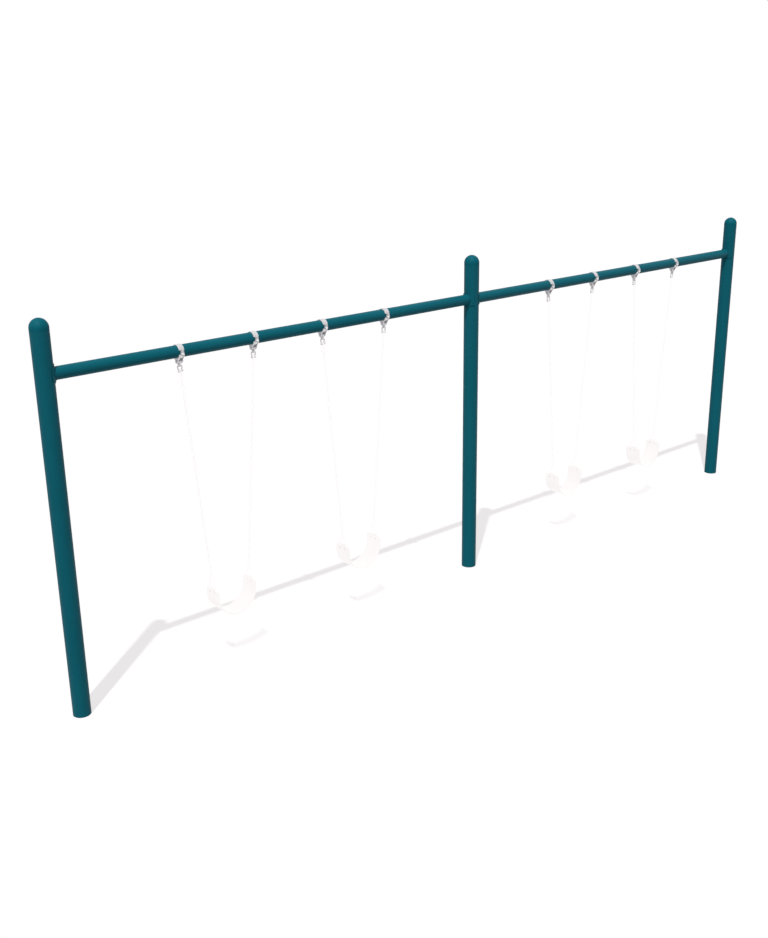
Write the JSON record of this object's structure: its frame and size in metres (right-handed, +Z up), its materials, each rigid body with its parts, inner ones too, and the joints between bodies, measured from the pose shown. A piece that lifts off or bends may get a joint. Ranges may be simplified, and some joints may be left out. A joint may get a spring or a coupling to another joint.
{
  "type": "single post swing frame",
  "caption": "Playground swing frame of domed round posts joined by tubular top rails, with U-shaped belt seats hung on welded chains from clamp-on pivoting hangers.",
  "frame": {"origin": "at grade under the axis of the middle post", "axes": "+X along the top rails from the left post to the right post, +Y the swinging direction, away from the viewer of the main view, +Z up"},
  "size_m": [7.808, 0.168, 2.806],
  "materials": {
    "frame_powder_coat": "satin powder coat, teal",
    "cap_powder_coat": "satin powder coat, teal, on a cast cap",
    "coated_fastener": "powder coated button heads",
    "cast_hanger": "galvanised ductile casting, matte",
    "galvanised_shackle": "hot-dip galvanised forging",
    "zinc_fastener": "bright zinc plate",
    "galvanised_chain": "pale galvanised, slightly matte",
    "bushing_bronze": "oil-filled sintered bronze",
    "belt_rubber": "moulded warm off-white rubber, fine pebble grain",
    "spring_steel": "blued spring strip"
  },
  "bodies": {
    "frame": {"post_left": "frame_powder_coat", "post_middle": "frame_powder_coat", "post_right": "frame_powder_coat", "cap_left": "cap_powder_coat", "cap_middle": "cap_powder_coat", "cap_right": "cap_powder_coat", "cap_rivets": "coated_fastener", "rail_left": "frame_powder_coat", "rail_right": "frame_powder_coat", "saddle_plates": "frame_powder_coat", "saddle_bolts": "coated_fastener", "threaded_inserts": "zinc_fastener", "hanger_saddles": "cast_hanger", "hanger_yokes": "cast_hanger", "clamp_bolts": "zinc_fastener", "clamp_washers": "zinc_fastener", "clamp_nuts": "zinc_fastener", "pivot_pins": "zinc_fastener", "pivot_nuts": "zinc_fastener"},
    "pendulum_1": {"pendulums_1": "cast_hanger", "bushings_1": "bushing_bronze"},
    "chain_1": {"shackles_1": "galvanised_shackle", "shackle_pins_1": "zinc_fastener", "chains_1": "galvanised_chain", "connecting_links_1": "galvanised_chain"},
    "seat_1": {"triangles_1": "galvanised_chain", "belt_1": "belt_rubber", "belt_insert_1": "spring_steel", "belt_rivets_1": "zinc_fastener"},
    "pendulum_2": {"pendulums_2": "cast_hanger", "bushings_2": "bushing_bronze"},
    "chain_2": {"shackles_2": "galvanised_shackle", "shackle_pins_2": "zinc_fastener", "chains_2": "galvanised_chain", "connecting_links_2": "galvanised_chain"},
    "seat_2": {"triangles_2": "galvanised_chain", "belt_2": "belt_rubber", "belt_insert_2": "spring_steel", "belt_rivets_2": "zinc_fastener"},
    "pendulum_3": {"pendulums_3": "cast_hanger", "bushings_3": "bushing_bronze"},
    "chain_3": {"shackles_3": "galvanised_shackle", "shackle_pins_3": "zinc_fastener", "chains_3": "galvanised_chain", "connecting_links_3": "galvanised_chain"},
    "seat_3": {"triangles_3": "galvanised_chain", "belt_3": "belt_rubber", "belt_insert_3": "spring_steel", "belt_rivets_3": "zinc_fastener"},
    "pendulum_4": {"pendulums_4": "cast_hanger", "bushings_4": "bushing_bronze"},
    "chain_4": {"shackles_4": "galvanised_shackle", "shackle_pins_4": "zinc_fastener", "chains_4": "galvanised_chain", "connecting_links_4": "galvanised_chain"},
    "seat_4": {"triangles_4": "galvanised_chain", "belt_4": "belt_rubber", "belt_insert_4": "spring_steel", "belt_rivets_4": "zinc_fastener"}
  },
  "joints": [
    {"name": "hanger_pivot_1", "type": "hinge", "parent": "frame", "child": "pendulum_1", "pos_m": [-2.548, 0, 2.366], "axis": [1, 0, 0], "range_deg": [-60, 60]},
    {"name": "shackle_pivot_1", "type": "hinge", "parent": "pendulum_1", "child": "chain_1", "pos_m": [-2.548, 0, 2.342], "axis": [1, 0, 0], "range_deg": [-30, 30]},
    {"name": "seat_tilt_1", "type": "hinge", "parent": "chain_1", "child": "seat_1", "pos_m": [-2.548, 0, 0.67916], "axis": [1, 0, 0], "range_deg": [-45, 45]},
    {"name": "hanger_pivot_2", "type": "hinge", "parent": "frame", "child": "pendulum_2", "pos_m": [-1.2945, 0, 2.366], "axis": [1, 0, 0], "range_deg": [-60, 60]},
    {"name": "shackle_pivot_2", "type": "hinge", "parent": "pendulum_2", "child": "chain_2", "pos_m": [-1.2945, 0, 2.342], "axis": [1, 0, 0], "range_deg": [-30, 30]},
    {"name": "seat_tilt_2", "type": "hinge", "parent": "chain_2", "child": "seat_2", "pos_m": [-1.2945, 0, 0.67916], "axis": [1, 0, 0], "range_deg": [-45, 45]},
    {"name": "hanger_pivot_3", "type": "hinge", "parent": "frame", "child": "pendulum_3", "pos_m": [1.2945, 0, 2.366], "axis": [1, 0, 0], "range_deg": [-60, 60]},
    {"name": "shackle_pivot_3", "type": "hinge", "parent": "pendulum_3", "child": "chain_3", "pos_m": [1.2945, 0, 2.342], "axis": [1, 0, 0], "range_deg": [-30, 30]},
    {"name": "seat_tilt_3", "type": "hinge", "parent": "chain_3", "child": "seat_3", "pos_m": [1.2945, 0, 0.67916], "axis": [1, 0, 0], "range_deg": [-45, 45]},
    {"name": "hanger_pivot_4", "type": "hinge", "parent": "frame", "child": "pendulum_4", "pos_m": [2.548, 0, 2.366], "axis": [1, 0, 0], "range_deg": [-60, 60]},
    {"name": "shackle_pivot_4", "type": "hinge", "parent": "pendulum_4", "child": "chain_4", "pos_m": [2.548, 0, 2.342], "axis": [1, 0, 0], "range_deg": [-30, 30]},
    {"name": "seat_tilt_4", "type": "hinge", "parent": "chain_4", "child": "seat_4", "pos_m": [2.548, 0, 0.67916], "axis": [1, 0, 0], "range_deg": [-45, 45]}
  ]
}
